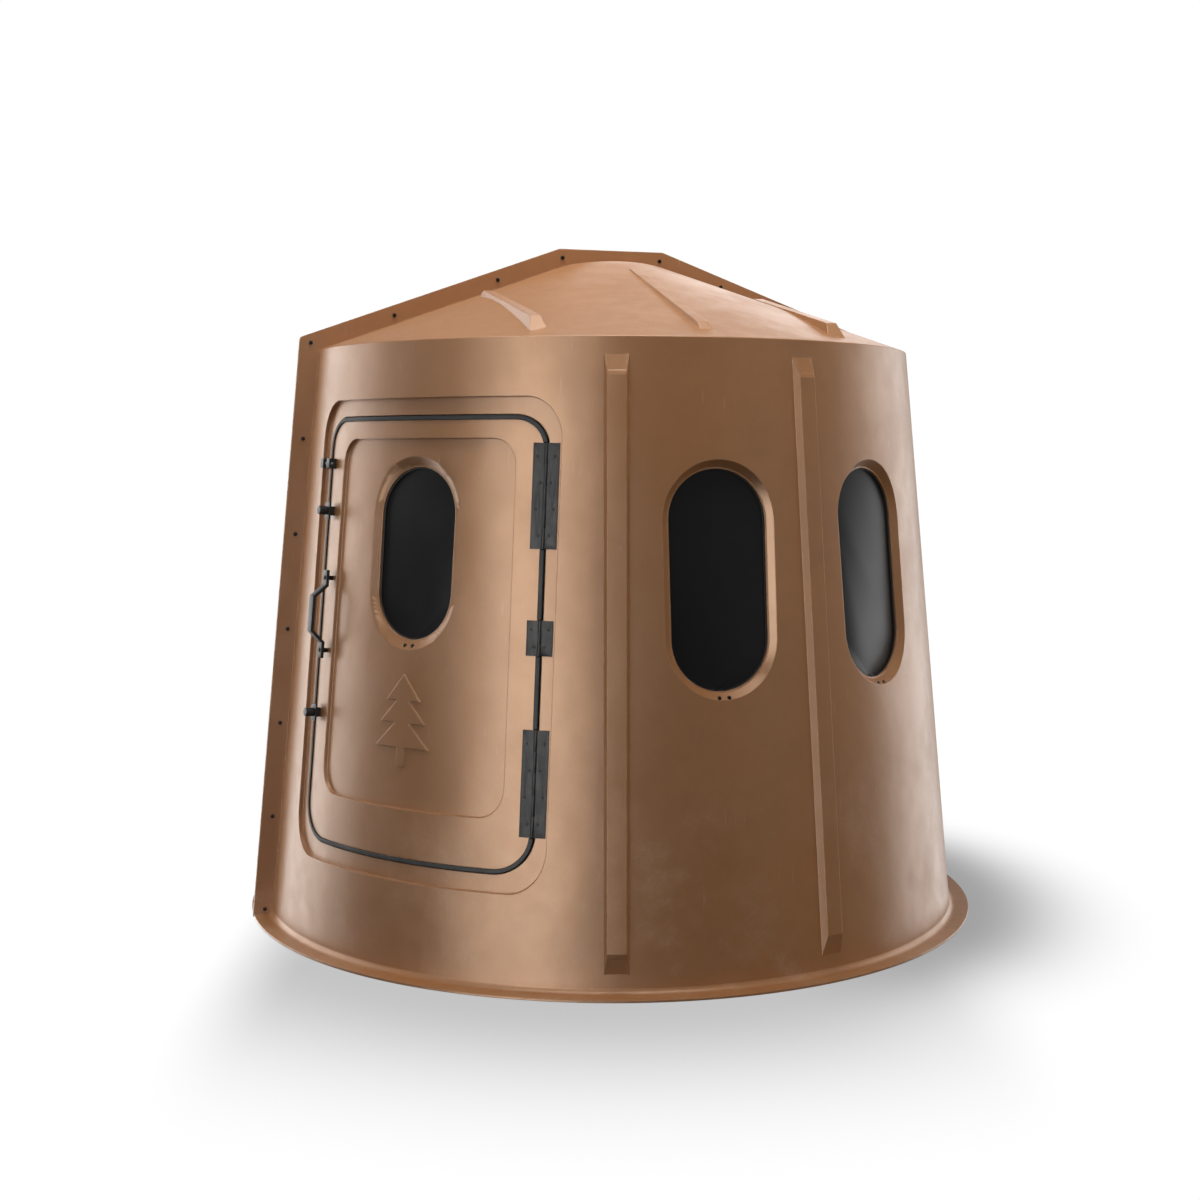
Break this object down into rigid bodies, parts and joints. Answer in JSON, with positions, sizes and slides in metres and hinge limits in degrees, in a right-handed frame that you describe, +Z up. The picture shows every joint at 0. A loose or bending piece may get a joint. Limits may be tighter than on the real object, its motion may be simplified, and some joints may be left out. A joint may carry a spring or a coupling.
{
  "type": "hard-sided ground blind",
  "caption": "Moulded round ground blind with a cone roof: hinged door, dark tilting windows, pull handle, latches and a bolted upright flange between two half shells.",
  "frame": {"origin": "centre of the foot, on the ground", "axes": "+Z up; the half shells meet in the XZ plane; the shell with the door is on the -Y side"},
  "size_m": [2.304, 2.299, 2.0605],
  "materials": {
    "moulded_shell": "satin moulded polyethylene, tan brown",
    "tinted_pane": "dark tinted sheet",
    "black_rubber": "matt black seal",
    "foam_strip": "closed-cell foam strip",
    "black_hinge": "black powder coat",
    "black_hardware": "black powder coat",
    "dark_fixings": "blackened steel"
  },
  "bodies": {
    "shell": {"flange_bolts": "dark_fixings", "flange_nuts": "dark_fixings", "flange_seal": "foam_strip", "flange_washers": "dark_fixings", "front_shell": "moulded_shell", "front_window_frame_leaf": "black_hinge", "front_window_gasket": "black_rubber", "hinge_wall_screws": "dark_fixings", "lower_hinge_wall_leaf": "black_hinge", "middle_hinge_wall_leaf": "black_hinge", "rear_left_window_frame_leaf": "black_hinge", "rear_left_window_gasket": "black_rubber", "rear_right_window_frame_leaf": "black_hinge", "rear_right_window_gasket": "black_rubber", "rear_shell": "moulded_shell", "rear_window_frame_leaf": "black_hinge", "rear_window_gasket": "black_rubber", "right_window_frame_leaf": "black_hinge", "right_window_gasket": "black_rubber", "upper_hinge_wall_leaf": "black_hinge", "wall_lock_lug": "black_hardware", "window_frame_screws": "dark_fixings"},
    "door": {"door_hinge_pins": "dark_fixings", "door_lock_lug": "black_hardware", "door_panel": "moulded_shell", "door_seal": "black_rubber", "door_window_frame_leaf": "black_hinge", "door_window_frame_screws": "dark_fixings", "door_window_gasket": "black_rubber", "handle_bolts": "dark_fixings", "hinge_door_screws": "dark_fixings", "lower_hinge_door_leaf": "black_hinge", "lower_latch_base": "black_hardware", "middle_hinge_door_leaf": "black_hinge", "pull_handle": "black_hardware", "upper_hinge_door_leaf": "black_hinge", "upper_latch_base": "black_hardware"},
    "upper_latch": {"upper_latch_cam": "black_hardware", "upper_latch_knob": "black_hardware"},
    "lower_latch": {"lower_latch_cam": "black_hardware", "lower_latch_knob": "black_hardware"},
    "front_pane": {"front_window_pane": "tinted_pane", "front_window_pane_leaf": "black_hinge", "front_window_pane_screws": "dark_fixings"},
    "right_pane": {"right_window_pane": "tinted_pane", "right_window_pane_leaf": "black_hinge", "right_window_pane_screws": "dark_fixings"},
    "rear_pane": {"rear_window_pane": "tinted_pane", "rear_window_pane_leaf": "black_hinge", "rear_window_pane_screws": "dark_fixings"},
    "rear_left_pane": {"rear_left_window_pane": "tinted_pane", "rear_left_window_pane_leaf": "black_hinge", "rear_left_window_pane_screws": "dark_fixings"},
    "rear_right_pane": {"rear_right_window_pane": "tinted_pane", "rear_right_window_pane_leaf": "black_hinge", "rear_right_window_pane_screws": "dark_fixings"},
    "door_pane": {"door_window_pane": "tinted_pane", "door_window_pane_leaf": "black_hinge", "door_window_pane_screws": "dark_fixings"}
  },
  "joints": [
    {"name": "door_swing", "type": "hinge", "parent": "shell", "child": "door", "pos_m": [-0.47217, -0.87456, 0.92655], "axis": [0.0613, 0.0745, 0.9953], "range_deg": [0, 110]},
    {"name": "front_pane_tilt", "type": "hinge", "parent": "shell", "child": "front_pane", "pos_m": [0, -0.9747, 0.77885], "axis": [-1, 0, 0], "range_deg": [0, 170]},
    {"name": "right_pane_tilt", "type": "hinge", "parent": "shell", "child": "right_pane", "pos_m": [0.5194, -0.82479, 0.77885], "axis": [-0.8462, -0.5329, 0], "range_deg": [0, 170]},
    {"name": "rear_pane_tilt", "type": "hinge", "parent": "shell", "child": "rear_pane", "pos_m": [0, 0.9747, 0.77885], "axis": [1, 0, 0], "range_deg": [0, 170]},
    {"name": "rear_left_pane_tilt", "type": "hinge", "parent": "shell", "child": "rear_left_pane", "pos_m": [-0.76281, 0.60677, 0.77885], "axis": [0.6225, 0.7826, 0], "range_deg": [0, 170]},
    {"name": "rear_right_pane_tilt", "type": "hinge", "parent": "shell", "child": "rear_right_pane", "pos_m": [0.76281, 0.60677, 0.77885], "axis": [0.6225, -0.7826, 0], "range_deg": [0, 170]},
    {"name": "door_pane_tilt", "type": "hinge", "parent": "door", "child": "door_pane", "pos_m": [-0.74722, -0.57877, 0.8994], "axis": [-0.6124, 0.7906, 0], "range_deg": [0, 170]},
    {"name": "upper_latch_turn", "type": "hinge", "parent": "door", "child": "upper_latch", "pos_m": [-0.92532, -0.25502, 1.252], "axis": [-0.9597, -0.2645, 0.0947], "range_deg": [0, 90]},
    {"name": "lower_latch_turn", "type": "hinge", "parent": "door", "child": "lower_latch", "pos_m": [-0.97639, -0.27869, 0.668], "axis": [-0.9573, -0.2732, 0.0947], "range_deg": [0, 90]}
  ]
}
